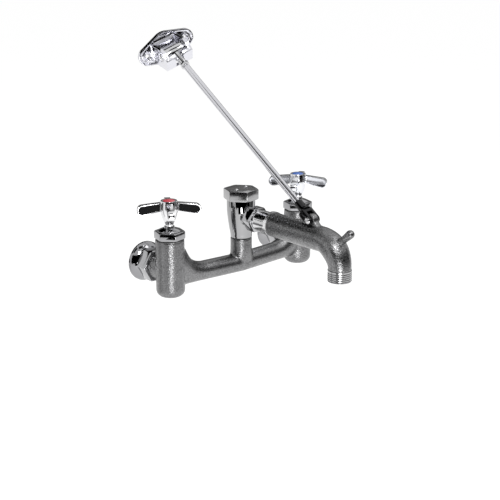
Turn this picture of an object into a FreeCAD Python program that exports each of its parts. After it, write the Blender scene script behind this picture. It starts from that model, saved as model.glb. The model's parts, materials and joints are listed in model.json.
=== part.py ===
import FreeCAD, Part
import math
import os
import re

import Sketcher
from FreeCAD import Placement, Rotation, Vector

# Wall-mount service sink faucet, in millimetres.
# +Z is up, +X runs from the hot inlet to the cold inlet, +Y points to the wall.
# The origin lies midway between the two supply inlets, in the plane of their mouths.

os.makedirs("parts", exist_ok=True)
doc = FreeCAD.newDocument("ServiceSinkFaucet")
sheet = doc.addObject("Spreadsheet::Sheet", "Sizes")

# Driving dimensions. Heights are measured from the axis of the supply inlets.
sizes = {
    # Body casting
    "inletSpacing": 203.2,
    "inletReach": 50.0,
    "bodyBow": 8.3,
    "barrelRadius": 17.0,
    "barrelTop": 37.6,
    "barrelDepth": 31.5,
    "barrelEdge": 8.5,
    "tubeRadius": 11.5,
    "tubeDrop": 9.0,
    "shoulderLength": 28.0,
    "bossRadius": 13.0,
    "bossTop": 22.6,
    "bossFlare": 11.0,
    "waterwayRadius": 7.5,
    "tubeEndWall": 3.4,
    "mitreSpare": 3.0,
    "chamberRadius": 10.0,
    "chamberFloor": 5.5,
    "webTop": 5.0,
    "webThickness": 6.0,
    "portRadius": 4.5,
    "portLength": 22.0,
    "passageRadius": 4.0,
    "passageLength": 24.0,
    "inletBoreRadius": 8.0,
    "inletBoreDepth": 8.5,
    "rearBossRadius": 15.6,
    "rearBossFlare": 3.3,
    "rearBossLength": 7.5,
    "rearBossDepth": 19.0,
    "rearBossSink": 2.25,
    "spigotRadius": 14.8,
    "spigotLength": 6.0,
    "breakerThreadRadius": 9.5,
    "breakerThreadLength": 10.0,
    "domeFlat": 0.25,
    "chamferEnd": 0.8,
    "boreSpare": 0.4,
    # Clearances
    "threadClearance": 0.05,
    "runningClearance": 0.05,
    "looseClearance": 0.3,
    # Valve
    "seatRadius": 7.5,
    "seatBore": 4.5,
    "seatLip": 2.0,
    "washerRadius": 6.8,
    "washerThickness": 4.0,
    "washerScrewShank": 1.8,
    "washerScrewHead": 3.2,
    "washerScrewHeadHeight": 2.2,
    "washerScrewLength": 12.0,
    "stemFootRadius": 8.0,
    "stemFootThickness": 4.0,
    "stemCoreRadius": 5.0,
    "stemThreadRadius": 7.0,
    "stemThreadStart": 15.0,
    "stemThreadLength": 16.0,
    "stemRadius": 4.5,
    "stemTangWidth": 6.4,
    "stemTangLength": 13.0,
    "stemTangRise": 2.5,
    "bonnetRelief": 1.5,
    "bonnetReliefDepth": 2.0,
    "bonnetThreadRadius": 11.0,
    "bonnetSkirt": 24.0,
    "bonnetAcrossFlats": 31.7,
    "bonnetAngle": 14.8,
    "bonnetHexHeight": 8.8,
    "bonnetChamfer": 1.2,
    "bonnetWeb": 4.0,
    "packingRadius": 8.0,
    "packingHeight": 4.6,
    "gasketThickness": 1.0,
    "domeRadius": 13.8,
    "domeRim": 0.8,
    "domeHeight": 3.9,
    "domeCurve": 20.0,
    "collarRadius": 6.0,
    "collarHeight": 2.0,
    "glandLength": 2.6,
    # Cross handle
    "hubGap": 2.2,
    "hubHeight": 28.0,
    "hubFootRadius": 5.0,
    "hubBellyRadius": 10.7,
    "hubBellyHeight": 17.5,
    "hubTopRadius": 9.6,
    "hubCurve": 55.0,
    "armLength": 36.8,
    "armTipRadius": 6.1,
    "armDrop": 1.6,
    "armDroop": 2.7,
    "armRootHeight": 10.2,
    "armThickness": 7.0,
    "armRim": 1.3,
    "armPanelDepth": 0.8,
    "armPanelStart": 0.6,
    "indexRadius": 7.0,
    "indexSeat": 2.0,
    "indexDome": 1.4,
    "indexCurve": 18.0,
    "handleScrewHead": 4.0,
    "handleScrewHeadHeight": 2.6,
    "handleScrewShank": 1.9,
    "handleScrewLength": 9.0,
    "handleWell": 5.2,
    "hotHandleAngle": -33.0,
    "coldHandleAngle": 37.0,
    # Supply arms
    "couplingAcrossFlats": 36.0,
    "couplingLength": 14.5,
    "couplingShoulder": 4.5,
    "couplingChamfer": 1.2,
    "armCollarRadius": 13.8,
    "armCollarLength": 3.2,
    "couplingWasherThickness": 1.5,
    "armNeckRadius": 12.4,
    "flangeRadius": 23.8,
    "flangeRim": 3.0,
    "flangeDepth": 12.0,
    "flangeCurve": 16.0,
    "inletThreadRadius": 10.2,
    "inletThreadLength": 11.0,
    # Vacuum breaker
    "breakerBaseRadius": 13.0,
    "breakerBaseHeight": 3.0,
    "breakerRadius": 17.2,
    "breakerShoulder": 56.6,
    "breakerCurve": 300.0,
    "breakerTop": 74.4,
    "breakerNeckRadius": 15.8,
    "breakerNeckLength": 4.6,
    "breakerChamber": 13.6,
    "breakerFloor": 35.5,
    "breakerInlet": 6.5,
    "airPortRadius": 9.0,
    "airSeatThickness": 3.0,
    "capAcrossFlats": 36.9,
    "capHeight": 12.3,
    "capPlate": 3.2,
    "capChamfer": 1.3,
    "capSkirt": 4.4,
    "capClearance": 0.08,
    "capAngle": 10.0,
    "capScrewSpacing": 19.0,
    "capScrewHead": 2.4,
    "capScrewHeadHeight": 1.9,
    "capScrewShank": 1.4,
    "capScrewAngle": 14.0,
    "guideRadius": 4.6,
    "guideGap": 0.7,
    "floatTravel": 4.5,
    "floatRim": 12.4,
    "floatRimThickness": 3.0,
    "floatCore": 4.2,
    "floatFoot": 2.0,
    "floatFlare": 4.0,
    "floatTipGap": 0.5,
    "floatSpindle": 2.2,
    "floatWasherRadius": 9.2,
    "floatWasherThickness": 2.5,
    # Spout
    "spoutHeight": 50.2,
    "nippleRadius": 11.6,
    "nippleBore": 8.4,
    "nippleReach": 26.0,
    "spoutWasherThickness": 1.5,
    "spoutNutAcrossFlats": 27.4,
    "spoutNutLength": 14.2,
    "spoutNutShoulder": 3.0,
    "spoutNutChamfer": 1.0,
    "spoutSleeveGap": 0.5,
    "spoutNeckRadius": 9.6,
    "spoutCollarRadius": 11.3,
    "spoutCollarLength": 3.0,
    "spoutSleeveRadius": 12.9,
    "spoutSleeveLength": 20.0,
    "spoutTaper": 4.0,
    "spoutRadius": 14.3,
    "elbowRadius": 15.0,
    "dropRadius": 13.0,
    "spoutBore": 8.0,
    "spoutReach": 166.6,
    "bendRadius": 28.0,
    "hoseThreadRadius": 13.5,
    "hoseThreadLength": 12.8,
    "hoseCollar": 1.2,
    "hoseChamfer": 1.0,
    "hoseMouth": 10.2,
    "hoseMouthDepth": 7.0,
    # Brace lug and pail hook on the spout
    "lugReach": 121.8,
    "lugRise": 19.0,
    "lugRadius": 7.0,
    "lugThickness": 8.0,
    "lugFoot": 15.0,
    "lugSink": 4.0,
    "hookLength": 29.0,
    "hookRadius": 4.3,
    "hookFlare": 2.2,
    "hookSink": 6.0,
    "hookKnobRadius": 5.0,
    "hookAngle": 42.0,
    "hookTilt": 41.0,
    # Brace
    "pinRadius": 2.75,
    "pinHeadRadius": 4.0,
    "pinHeadHeight": 2.2,
    "pinHeadEdge": 0.4,
    "pinHeadCurve": 5.2,
    "tineThickness": 3.2,
    "tineRadius": 4.7,
    "forkCrotch": 9.6,
    "forkShoulder": 14.0,
    "forkLength": 28.0,
    "forkSleeveRadius": 5.3,
    "forkNeckLength": 4.0,
    "forkSocket": 12.0,
    "rodRadius": 4.0,
    "braceLength": 297.0,
    "braceElevation": 33.4,
    "rodTipRadius": 3.0,
    "rodTipLength": 20.0,
    "rodTipGap": 11.0,
    "rodShoulder": 1.0,
    "eyeRadius": 7.6,
    "eyeWidth": 27.0,
    "eyeNeckRadius": 4.7,
    "eyeNeckEnd": 24.0,
    "eyeBoreEnd": 8.8,
    "jamNutAcrossFlats": 10.0,
    "jamNutThickness": 4.6,
    # Wall bracket
    "bracketSpin": 28.0,
    "bracketTilt": 30.0,
    "bracketPinRadius": 3.0,
    "bracketPinHead": 4.7,
    "bracketPinHeadHeight": 1.6,
    "bracketPinHeadEdge": 0.3,
    "bracketPinHeadCurve": 7.7,
    "bracketPinFit": 0.01,
    "pinStandoff": 22.0,
    "plateThickness": 5.0,
    "plateRadius": 20.5,
    "plateEndRadius": 11.5,
    "plateRim": 2.2,
    "plateRecess": 1.3,
    "screwSpacing": 54.0,
    "screwHoleRadius": 2.7,
    "screwPadRadius": 6.8,
    "screwPadHeight": 1.0,
    "screwSink": 1.9,
    "cheekThickness": 4.5,
    "yokeTop": 12.0,
    "yokeBottom": 16.0,
    "webDistance": 14.7,
    "webAngle": 37.4,
    "webWall": 4.0,
    "webBelow": 11.0,
    "webAbove": 8.7,
    "slotWidth": 10.4,
    "slotBelow": 9.9,
    "slotFront": 5.0,
    "slotBack": 6.0,
    "yokeNose": 2.0,
    "yokeShoulder": 5.0,
    "yokeSlope": 4.0,
    "yokeSpare": 30.0,
}

# Lengths that follow from the driving dimensions.
derived = {
    "valveX": "inletSpacing / 2",
    "breakerY": "-inletReach - bodyBow",
    "legLength": "sqrt(valveX^2 + bodyBow^2)",
    "tubeTop": "tubeRadius - tubeDrop",
    "webBottom": "-webTop - webThickness",
    "seatTop": "seatLip - webTop",
    "washerTop": "seatTop + washerThickness",
    "barrelBore": "bonnetThreadRadius + threadClearance",
    "bonnetBase": "barrelTop + gasketThickness",
    "bonnetLow": "barrelTop - bonnetSkirt",
    "bonnetTop": "bonnetBase + bonnetHexHeight",
    "packingLow": "bonnetTop - packingHeight - glandLength",
    "stemBore": "stemRadius + looseClearance",
    "domeTop": "bonnetTop + domeHeight",
    "collarTop": "domeTop + collarHeight",
    "hubBottom": "collarTop + hubGap",
    "hubTop": "hubBottom + hubHeight",
    "tangLow": "hubBottom + stemTangRise",
    "stemTop": "tangLow + stemTangLength",
    "spigotEnd": "-inletReach + spigotReach",
    "spigotReach": "barrelRadius - rearBossSink + rearBossLength + spigotLength",
    "armCollarFront": "spigotEnd + couplingWasherThickness",
    "armCollarBack": "armCollarFront + armCollarLength",
    "couplingBack": "armCollarBack + couplingShoulder",
    "couplingFront": "couplingBack - couplingLength",
    "breakerLow": "bossTop + gasketThickness",
    "capLow": "breakerTop - capSkirt",
    "capTop": "capLow + capHeight",
    "capThreadTop": "breakerTop + breakerNeckLength",
    "capUnder": "capTop - capPlate",
    "airSeatLow": "breakerTop - airSeatThickness",
    "guideLow": "airSeatLow + guideGap",
    "floatTop": "airSeatLow - floatTravel",
    "floatLow": "breakerFloor + floatWasherThickness",
    "floatTip": "capUnder - floatTravel - floatTipGap",
    "spoutWasherFront": "nippleReach + spoutWasherThickness",
    "collarFront": "spoutWasherFront + spoutCollarLength",
    "spoutNutFront": "collarFront + spoutNutShoulder",
    "spoutNutBack": "spoutNutFront - spoutNutLength",
    "sleeveBack": "spoutNutFront + spoutSleeveGap",
    "sleeveFront": "sleeveBack + spoutSleeveLength",
    "taperFront": "sleeveFront + spoutTaper",
    "bendStart": "spoutReach - bendRadius",
    "lugHeight": "spoutHeight + lugRise",
    "neckDrop": "bendRadius + hoseCollar",
    "mouthDrop": "neckDrop + hoseThreadLength",
    "forkWidth": "lugThickness + 2 * looseClearance + 2 * tineThickness",
    "rodTipStart": "braceLength - rodTipGap - rodTipLength",
    "braceY": "breakerY - lugReach",
    "pivotY": "braceY + braceLength * cos(braceElevation)",
    "pivotZ": "lugHeight + braceLength * sin(braceElevation)",
    "yokeGap": "eyeWidth + 2 * looseClearance",
    "yokeWidth": "yokeGap + 2 * cheekThickness",
    "padStart": "pinStandoff + plateRecess - screwPadHeight",
}

alongZ = Rotation()
alongY = Rotation(Vector(1, 0, 0), -90)
alongFront = Rotation(Vector(1, 0, 0), 90)
alongX = Rotation(Vector(0, 1, 0), 90)

for row, (name, value) in enumerate(sizes.items(), start=1):
    sheet.set(f"A{row}", name)
    sheet.set(f"B{row}", str(value))
    sheet.setAlias(f"B{row}", name)
doc.recompute()

pieces = []


def formula(text):
    """Write a formula on named lengths as one on the sheet's cells."""
    def cell(found):
        word = found.group(0)
        if word in sizes:
            return "Sizes." + word
        if word in derived:
            return "(" + formula(derived[word]) + ")"
        return word
    return re.sub(r"[A-Za-z_]\w*", cell, str(text))


def number(text):
    return float(sheet.evalExpression(formula(text)))


def bind(thing, **cells):
    for key, text in cells.items():
        thing.setExpression(key, formula(text))
    return thing


def place(thing, at=(0, 0, 0), turn=alongZ):
    """Turn a thing and tie its place to the sheet."""
    thing.Placement = Placement(Vector(), turn)
    for axis, text in zip("xyz", at):
        thing.setExpression("Placement.Base." + axis, formula(text))
    return thing


def piece(thing, node):
    thing.Label = node
    pieces.append(thing)
    return thing


def cylinder(name, radius, length, at=(0, 0, 0), turn=alongZ):
    thing = doc.addObject("Part::Cylinder", name)
    return place(bind(thing, Radius=radius, Height=length), at, turn)


def cone(name, first, second, length, at=(0, 0, 0), turn=alongZ):
    thing = doc.addObject("Part::Cone", name)
    return place(bind(thing, Radius1=first, Radius2=second, Height=length), at, turn)


def box(name, width, depth, height, at=(0, 0, 0), turn=alongZ):
    thing = doc.addObject("Part::Box", name)
    return place(bind(thing, Length=width, Width=depth, Height=height), at, turn)


def prism(name, acrossFlats, length, at=(0, 0, 0), turn=alongZ, corners=6):
    thing = doc.addObject("Part::Prism", name)
    thing.Polygon = corners
    across = f"({acrossFlats}) / 2 / cos(180 / {corners})"
    return place(bind(thing, Circumradius=across, Height=length), at, turn)


def fuse(name, parts):
    thing = doc.addObject("Part::MultiFuse", name)
    thing.Shapes = parts
    return thing


def common(name, first, second):
    thing = doc.addObject("Part::MultiCommon", name)
    thing.Shapes = [first, second]
    return thing


def cut(name, base, tools):
    thing = doc.addObject("Part::Cut", name)
    thing.Base = base
    thing.Tool = fuse(name + "Tools", tools) if len(tools) > 1 else tools[0]
    return thing


def originPlane(body, role):
    return [item for item in body.Origin.OriginFeatures if item.Role == role][0]


def arcThrough(start, end, radius, side):
    """Short arc of a radius between two points; its centre is left (1) or right (-1) of the way."""
    chord = end - start
    middle = (start + end) * 0.5
    normal = Vector(-chord.y, chord.x, 0).normalize()
    rise = math.sqrt(max(radius ** 2 - (chord.Length / 2) ** 2, 0))
    centre = middle + normal * (side * rise)
    top = centre - normal * (side * radius)
    if side < 0:
        start, end = end, start
    return Part.Arc(start, top, end)


def outline(body, name, role, corners):
    """Closed sketch. A corner is (x, y), or (x, y, radius, side) where an arc leads to it."""
    sketch = body.newObject("Sketcher::SketchObject", name)
    sketch.AttachmentSupport = [(originPlane(body, role), "")]
    sketch.MapMode = "FlatFace"
    points = [Vector(number(c[0]), number(c[1]), 0) for c in corners]
    starts = []
    for index, corner in enumerate(corners):
        before = points[index - 1]
        after = points[index]
        if len(corner) == 4:
            arc = arcThrough(before, after, number(corner[2]), corner[3])
            edge = sketch.addGeometry(arc, False)
            arrives = sketch.Geometry[edge].EndPoint.distanceToPoint(after) < 1e-6
            starts.append((edge, 1 if arrives else 2, 2 if arrives else 1))
            at = sketch.addConstraint(Sketcher.Constraint("Radius", edge, number(corner[2])))
            sketch.setExpression(f"Constraints[{at}]", formula(corner[2]))
        else:
            edge = sketch.addGeometry(Part.LineSegment(before, after), False)
            starts.append((edge, 1, 2))
    for index, corner in enumerate(corners):
        edge, first, last = starts[index]
        following = starts[(index + 1) % len(corners)]
        sketch.addConstraint(Sketcher.Constraint("Coincident", edge, last, following[0], following[1]))
        for kind, text in (("DistanceX", corner[0]), ("DistanceY", corner[1])):
            at = sketch.addConstraint(Sketcher.Constraint(kind, -1, 1, edge, last, number(text)))
            sketch.setExpression(f"Constraints[{at}]", formula(text))
    return sketch


def revolve(name, corners, at=(0, 0, 0), turn=alongZ):
    """Turned piece: the outline's first number is a radius, its second a height."""
    body = doc.addObject("PartDesign::Body", name)
    sketch = outline(body, name + "Outline", "XZ_Plane", corners)
    feature = body.newObject("PartDesign::Revolution", name + "Turning")
    feature.Profile = sketch
    feature.ReferenceAxis = (sketch, ["V_Axis"])
    feature.Angle = 360
    return place(body, at, turn)


def slab(name, role, corners, thickness, at=(0, 0, 0), turn=alongZ):
    """Flat piece of an outline, half its thickness each side of the sketch plane."""
    body = doc.addObject("PartDesign::Body", name)
    sketch = outline(body, name + "Outline", role, corners)
    feature = body.newObject("PartDesign::Pad", name + "Pad")
    feature.Profile = sketch
    feature.Midplane = True
    bind(feature, Length=thickness)
    return place(body, at, turn)


def ring(name, inner, outer, low, high, at=(0, 0, 0), turn=alongZ):
    corners = [(inner, low), (outer, low), (outer, high), (inner, high)]
    return revolve(name, corners, at, turn)


def nutOutline(bore, flats, low, high, chamfer):
    """Turned outline of a nut: a bore, and both ends chamfered back from the corners."""
    corner = f"({flats}) / 2 / cos(30)"
    return [
        (bore, low),
        (f"{corner} - {chamfer}", low),
        (corner, f"{low} + {chamfer} / 2"),
        (corner, f"{high} - {chamfer} / 2"),
        (f"{corner} - {chamfer}", high),
        (bore, high),
    ]


def loft(name, sections):
    thing = doc.addObject("Part::Loft", name)
    thing.Sections = sections
    thing.Solid = True
    thing.Ruled = False
    return thing


def ellipse(name, major, minor, at, turn):
    thing = doc.addObject("Part::Ellipse", name)
    return place(bind(thing, MajorRadius=major, MinorRadius=minor), at, turn)


def circle(name, radius, at, turn):
    thing = doc.addObject("Part::Circle", name)
    return place(bind(thing, Radius=radius), at, turn)


# Body casting

def legTurn(side):
    """Turn that lays a thing made along Z on a leg of the body, from the barrel to the middle."""
    bow = math.degrees(math.atan2(sizes["bodyBow"], sizes["inletSpacing"] / 2))
    inward = 90 if side < 0 else -90
    return Rotation(Vector(0, 0, 1), side * bow) * Rotation(Vector(0, 1, 0), inward)


def legPoint(side, along):
    """Point of a leg's axis at a distance from the barrel's axis."""
    share = f"(({along}) / legLength)"
    return (f"{side} * valveX * (1 - {share})", f"-inletReach - bodyBow * {share}", "-tubeDrop")


def leg(name, side, radius, start):
    """Straight run along a leg, from a distance off the barrel's axis to the middle plane."""
    run = cylinder(name + "Run", radius, f"legLength + mitreSpare - ({start})", legPoint(side, start), legTurn(side))
    beyond = "0" if side < 0 else "-2 * tubeRadius"
    spare = box(name + "Spare", "2 * tubeRadius", "4 * tubeRadius", "4 * tubeRadius",
                (beyond, "breakerY - 2 * tubeRadius", "-tubeDrop - 2 * tubeRadius"))
    return cut(name, run, [spare])


def shoulder(side):
    """Blend between a barrel and the tube: tall ovals that settle into the tube's circle."""
    name = "leftShoulder" if side < 0 else "rightShoulder"
    sections = []
    for index, share in enumerate((0, 0.12, 0.3, 0.55)):
        sag = f"(1 - sqrt(1 - (1 - {share})^2))"
        top = f"(tubeTop + (barrelTop - 1 - tubeTop) * {sag})"
        bottom = f"(tubeTop - 2 * tubeRadius - 0.8 * (1 - {share})^2)"
        width = f"tubeRadius + (0.82 * barrelRadius - tubeRadius) * (1 - {share})^2"
        along = f"barrelRadius + shoulderLength * {share}" if index else "barrelRadius / 2"
        x, y, z = legPoint(side, along)
        middle = (x, y, f"({top} + {bottom}) / 2")
        sections.append(ellipse(f"{name}Oval{index}", f"({top} - {bottom}) / 2", width, middle, legTurn(side)))
    end = legPoint(side, "barrelRadius + shoulderLength")
    sections.append(circle(name + "End", "tubeRadius", end, legTurn(side)))
    return loft(name, sections)


def centreBoss():
    """Boss that flares sideways into the tube."""
    sections = [circle("bossMouth", "bossRadius", (0, "breakerY", "bossTop"), alongZ)]
    start = "tubeTop + 7"
    for index, share in enumerate((0, 0.45, 0.75, 1)):
        across = f"bossRadius + bossFlare * (1 - sqrt(1 - {share}^2))"
        deep = f"bossRadius - (bossRadius - tubeRadius + 0.4) * {share}^2 - 0.01"
        height = f"{start} - ({start} + tubeDrop) * {share}"
        sections.append(ellipse(f"bossOval{index}", across, deep, (0, "breakerY", height), alongZ))
    return loft("centreBoss", sections)


def barrelSolid(side):
    """Valve barrel with its rounded foot, and the boss behind it with the spigot for the supply arm."""
    name = "leftBarrel" if side < 0 else "rightBarrel"
    upright = Rotation(Vector(0, 0, 1), Vector(1, 0, 0), Vector(0, 1, 0), "XYZ")
    at = (f"{side} * valveX", "-inletReach", 0)
    barrel = revolve(name, [
        (0, "-barrelDepth"),
        ("barrelRadius - barrelEdge", "-barrelDepth"),
        ("barrelRadius", "barrelEdge - barrelDepth", "barrelEdge", 1),
        ("barrelRadius", "barrelTop"),
        (0, "barrelTop"),
    ], at)
    sections = []
    for index, share in enumerate((0, 0.35, 0.7, 1)):
        reach = f"spigotEnd - spigotLength - (rearBossDepth - 0.4) * {share}"
        tall = f"rearBossRadius + rearBossFlare * (1 - sqrt(1 - {share}^2)) + 0.01"
        wide = f"rearBossRadius + 0.4 * {share}"
        sections.append(ellipse(f"{name}Boss{index}", tall, wide, (at[0], reach, 0), upright))
    boss = loft(name + "Boss", sections)
    spigotStart = (f"{side} * valveX", "spigotEnd - spigotLength - 1", 0)
    spigot = cylinder(name + "Spigot", "spigotRadius", "spigotLength + 1", spigotStart, alongY)
    return [barrel, boss, spigot]


def barrelWater(side):
    """Waterways of one barrel: bonnet bore, seat web, supply chamber, and the two slanting ports."""
    name = "leftWater" if side < 0 else "rightWater"
    at = f"{side} * valveX"
    down = Rotation(Vector(1, 0, 0), 135)
    outward = Rotation(Vector(0, 1, 0), side * 45)
    portStart = f"{side} * (valveX - barrelRadius - tubeEndWall - 3)"
    return [
        cylinder(name + "Bonnet", "barrelBore", "barrelTop + webTop", (at, "-inletReach", "-webTop")),
        cylinder(name + "Seat", "seatRadius + threadClearance", "webThickness", (at, "-inletReach", "webBottom")),
        cylinder(name + "Chamber", "chamberRadius", "webBottom + barrelDepth - chamberFloor",
                 (at, "-inletReach", "chamberFloor - barrelDepth")),
        cylinder(name + "Inlet", "inletBoreRadius", "inletBoreDepth", (at, "spigotEnd - inletBoreDepth", 0), alongY),
        cylinder(name + "Passage", "passageRadius", "passageLength", (at, "spigotEnd - inletBoreDepth + 3", "-1"), down),
        cylinder(name + "Port", "portRadius", "portLength", (portStart, "-inletReach", "-tubeDrop"), outward),
    ]


def faucetBody():
    outside = [centreBoss()]
    water = [
        cylinder("bossWater", "breakerInlet + looseClearance", "bossTop + tubeDrop", (0, "breakerY", "-tubeDrop")),
        cylinder("bossThread", "breakerThreadRadius + threadClearance", "breakerThreadLength + boreSpare",
                 (0, "breakerY", "bossTop - breakerThreadLength - boreSpare")),
    ]
    for side in (-1, 1):
        name = "left" if side < 0 else "right"
        start = "barrelRadius + shoulderLength"
        outside += barrelSolid(side)
        outside.append(shoulder(side))
        outside.append(leg(name + "Leg", side, "tubeRadius", start))
        water += barrelWater(side)
        water.append(leg(name + "LegWater", side, "waterwayRadius", "barrelRadius + tubeEndWall"))
    piece(cut("faucetBody", fuse("bodyOutside", outside), water), "faucet_body")


# Valves

def seat(side, at):
    piece(ring(side + "Seat", "seatBore", "seatRadius", "webBottom", "seatTop", at), side + "_seat")


def seatWasher(side, at):
    bore = "washerScrewShank + looseClearance"
    piece(ring(side + "SeatWasher", bore, "washerRadius", "seatTop", "washerTop", at), side + "_seat_washer")


def washerScrew(side, at):
    piece(revolve(side + "WasherScrew", [
        (0, "seatTop - washerScrewHeadHeight"),
        ("washerScrewHead - chamferEnd", "seatTop - washerScrewHeadHeight"),
        ("washerScrewHead", "seatTop - washerScrewHeadHeight + chamferEnd"),
        ("washerScrewHead", "seatTop"),
        ("washerScrewShank", "seatTop"),
        ("washerScrewShank", "seatTop + washerScrewLength"),
        (0, "seatTop + washerScrewLength"),
    ], at), side + "_washer_screw")


def stem(side, at, angle):
    threadTop = "stemThreadStart + stemThreadLength"
    turned = revolve(side + "StemTurned", [
        (0, "washerTop"),
        ("stemFootRadius", "washerTop"),
        ("stemFootRadius", "washerTop + stemFootThickness"),
        ("stemCoreRadius", "washerTop + stemFootThickness"),
        ("stemCoreRadius", "stemThreadStart"),
        ("stemThreadRadius", "stemThreadStart"),
        ("stemThreadRadius", threadTop),
        ("stemRadius", threadTop),
        ("stemRadius", "tangLow"),
        (0, "tangLow"),
    ], at)
    tangAt = (at[0], at[1], "tangLow")
    tang = prism(side + "StemTang", "stemTangWidth", "stemTangLength", tangAt, Rotation(Vector(0, 0, 1), angle), 4)
    screwAt = (at[0], at[1], "washerTop")
    screwHole = cylinder(side + "StemScrewHole", "washerScrewShank + threadClearance",
                         "washerScrewLength - washerThickness + boreSpare", screwAt)
    topAt = (at[0], at[1], "stemTop - handleScrewLength")
    topHole = cylinder(side + "StemTopHole", "handleScrewShank + threadClearance", "handleScrewLength", topAt)
    outside = fuse(side + "StemOutside", [turned, tang])
    piece(cut(side + "Stem", outside, [screwHole, topHole]), side + "_stem")


def bonnet(side, at):
    flats = "bonnetAcrossFlats"
    blank = revolve(side + "BonnetBlank", nutOutline(0, flats, "bonnetBase", "bonnetTop", "bonnetChamfer"), at)
    hexagon = prism(side + "BonnetHexagon", flats, "bonnetHexHeight", (at[0], at[1], "bonnetBase"),
                    Rotation(Vector(0, 0, 1), sizes["bonnetAngle"]))
    hexagon.setExpression("Placement.Rotation.Angle", formula("bonnetAngle"))
    skirt = cylinder(side + "BonnetSkirt", "bonnetThreadRadius", "bonnetSkirt + gasketThickness",
                     (at[0], at[1], "bonnetLow"))
    outside = fuse(side + "BonnetOutside", [common(side + "BonnetHex", blank, hexagon), skirt])
    thread = "stemThreadRadius + runningClearance"
    bore = revolve(side + "BonnetBore", [
        (0, "bonnetLow"),
        ("stemThreadRadius + bonnetRelief", "bonnetLow"),
        ("stemThreadRadius + bonnetRelief", "bonnetLow + bonnetReliefDepth"),
        (thread, "bonnetLow + bonnetReliefDepth"),
        (thread, "packingLow - bonnetWeb"),
        ("stemBore", "packingLow - bonnetWeb"),
        ("stemBore", "packingLow"),
        ("packingRadius + threadClearance", "packingLow"),
        ("packingRadius + threadClearance", "bonnetTop"),
        (0, "bonnetTop"),
    ], at)
    piece(cut(side + "Bonnet", outside, [bore]), side + "_bonnet")


def bonnetGasket(side, at):
    inner = "bonnetThreadRadius + looseClearance"
    piece(ring(side + "BonnetGasket", inner, "barrelRadius - 0.9", "barrelTop", "bonnetBase", at),
          side + "_bonnet_gasket")


def packing(side, at):
    inner = "stemRadius + runningClearance"
    top = "packingLow + packingHeight"
    piece(ring(side + "Packing", inner, "packingRadius", "packingLow", top, at), side + "_packing")


def packingNut(side, at):
    piece(revolve(side + "PackingNut", [
        ("stemBore", "bonnetTop - glandLength"),
        ("packingRadius", "bonnetTop - glandLength"),
        ("packingRadius", "bonnetTop"),
        ("domeRadius", "bonnetTop"),
        ("domeRadius", "bonnetTop + domeRim"),
        ("collarRadius", "domeTop", "domeCurve", 1),
        ("collarRadius", "collarTop"),
        ("stemBore", "collarTop"),
    ], at), side + "_packing_nut")


def armOutline(start, rim):
    """Side view of one arm from a distance off the hub's axis, drawn in by a rim."""
    tip = "armLength - armTipRadius"
    tipTop = "hubTop - armDrop - armDroop"
    tipLow = f"{tipTop} - 2 * armTipRadius"
    return [
        (start, f"hubTop - armDrop - {rim}"),
        (start, f"hubTop - armDrop - armRootHeight + {rim}"),
        (tip, f"{tipLow} + {rim}"),
        (f"armLength - {rim}", f"{tipLow} + armTipRadius", f"armTipRadius - {rim}", 1),
        (tip, f"{tipTop} - {rim}", f"armTipRadius - {rim}", 1),
    ]


def armFeature(body, name, kind, corners, thickness):
    """Pad or pocket of an arm's outline, half its thickness each side of the arm's middle."""
    feature = body.newObject(kind, name)
    feature.Profile = outline(body, name + "Outline", "XZ_Plane", corners)
    feature.Midplane = True
    bind(feature, Length=thickness)
    doc.recompute()
    return feature


def handle(side, at, angle):
    """Cross handle: a bell-shaped hub with four drooping arms that have a recessed panel each side."""
    body = doc.addObject("PartDesign::Body", side + "Handle")
    hub = outline(body, side + "HubOutline", "XZ_Plane", [
        (0, "hubBottom"),
        ("hubFootRadius", "hubBottom"),
        ("hubBellyRadius", "hubBottom + hubBellyHeight", "hubCurve", 1),
        ("hubTopRadius", "hubTop", "hubCurve", 1),
        (0, "hubTop"),
    ])
    turning = body.newObject("PartDesign::Revolution", side + "HubTurning")
    turning.Profile = hub
    turning.ReferenceAxis = (hub, ["V_Axis"])
    turning.Angle = 360
    arm = armFeature(body, side + "Arm", "PartDesign::Pad", armOutline("hubFootRadius", "0"), "armThickness")
    panels = armFeature(body, side + "Panels", "PartDesign::Pocket",
                        armOutline("hubBellyRadius + armPanelStart", "armRim"), "armThickness + 2 * armRim")
    web = armFeature(body, side + "Web", "PartDesign::Pad", armOutline("hubBellyRadius", "armRim / 2"),
                     "armThickness - 2 * armPanelDepth")
    axis = [item for item in body.Origin.OriginFeatures if item.Role == "Z_Axis"][0]
    around = body.newObject("PartDesign::PolarPattern", side + "Arms")
    around.Originals = [arm, panels, web]
    around.Axis = (axis, [""])
    around.Angle = 360
    around.Occurrences = 4
    body.Tip = around
    place(body, at, Rotation(Vector(0, 0, 1), angle))
    turn = Rotation(Vector(0, 0, 1), angle)
    squareAt = (at[0], at[1], "hubBottom")
    square = prism(side + "HandleSquare", "stemTangWidth + 2 * runningClearance",
                   "stemTangRise + stemTangLength + runningClearance", squareAt, turn, 4)
    throat = cylinder(side + "HandleThroat", "stemRadius + runningClearance",
                      "stemTangRise + runningClearance", squareAt)
    shank = cylinder(side + "HandleShank", "handleScrewShank + looseClearance", "hubHeight", squareAt)
    wellAt = (at[0], at[1], "hubTop - indexSeat - handleWell")
    well = cylinder(side + "HandleWell", "handleScrewHead + looseClearance", "indexSeat + handleWell", wellAt)
    seatAt = (at[0], at[1], "hubTop - indexSeat")
    recess = cylinder(side + "HandleRecess", "indexRadius + runningClearance", "indexSeat", seatAt)
    piece(cut(side + "HandleCut", body, [square, throat, shank, well, recess]), side + "_handle")


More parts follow.
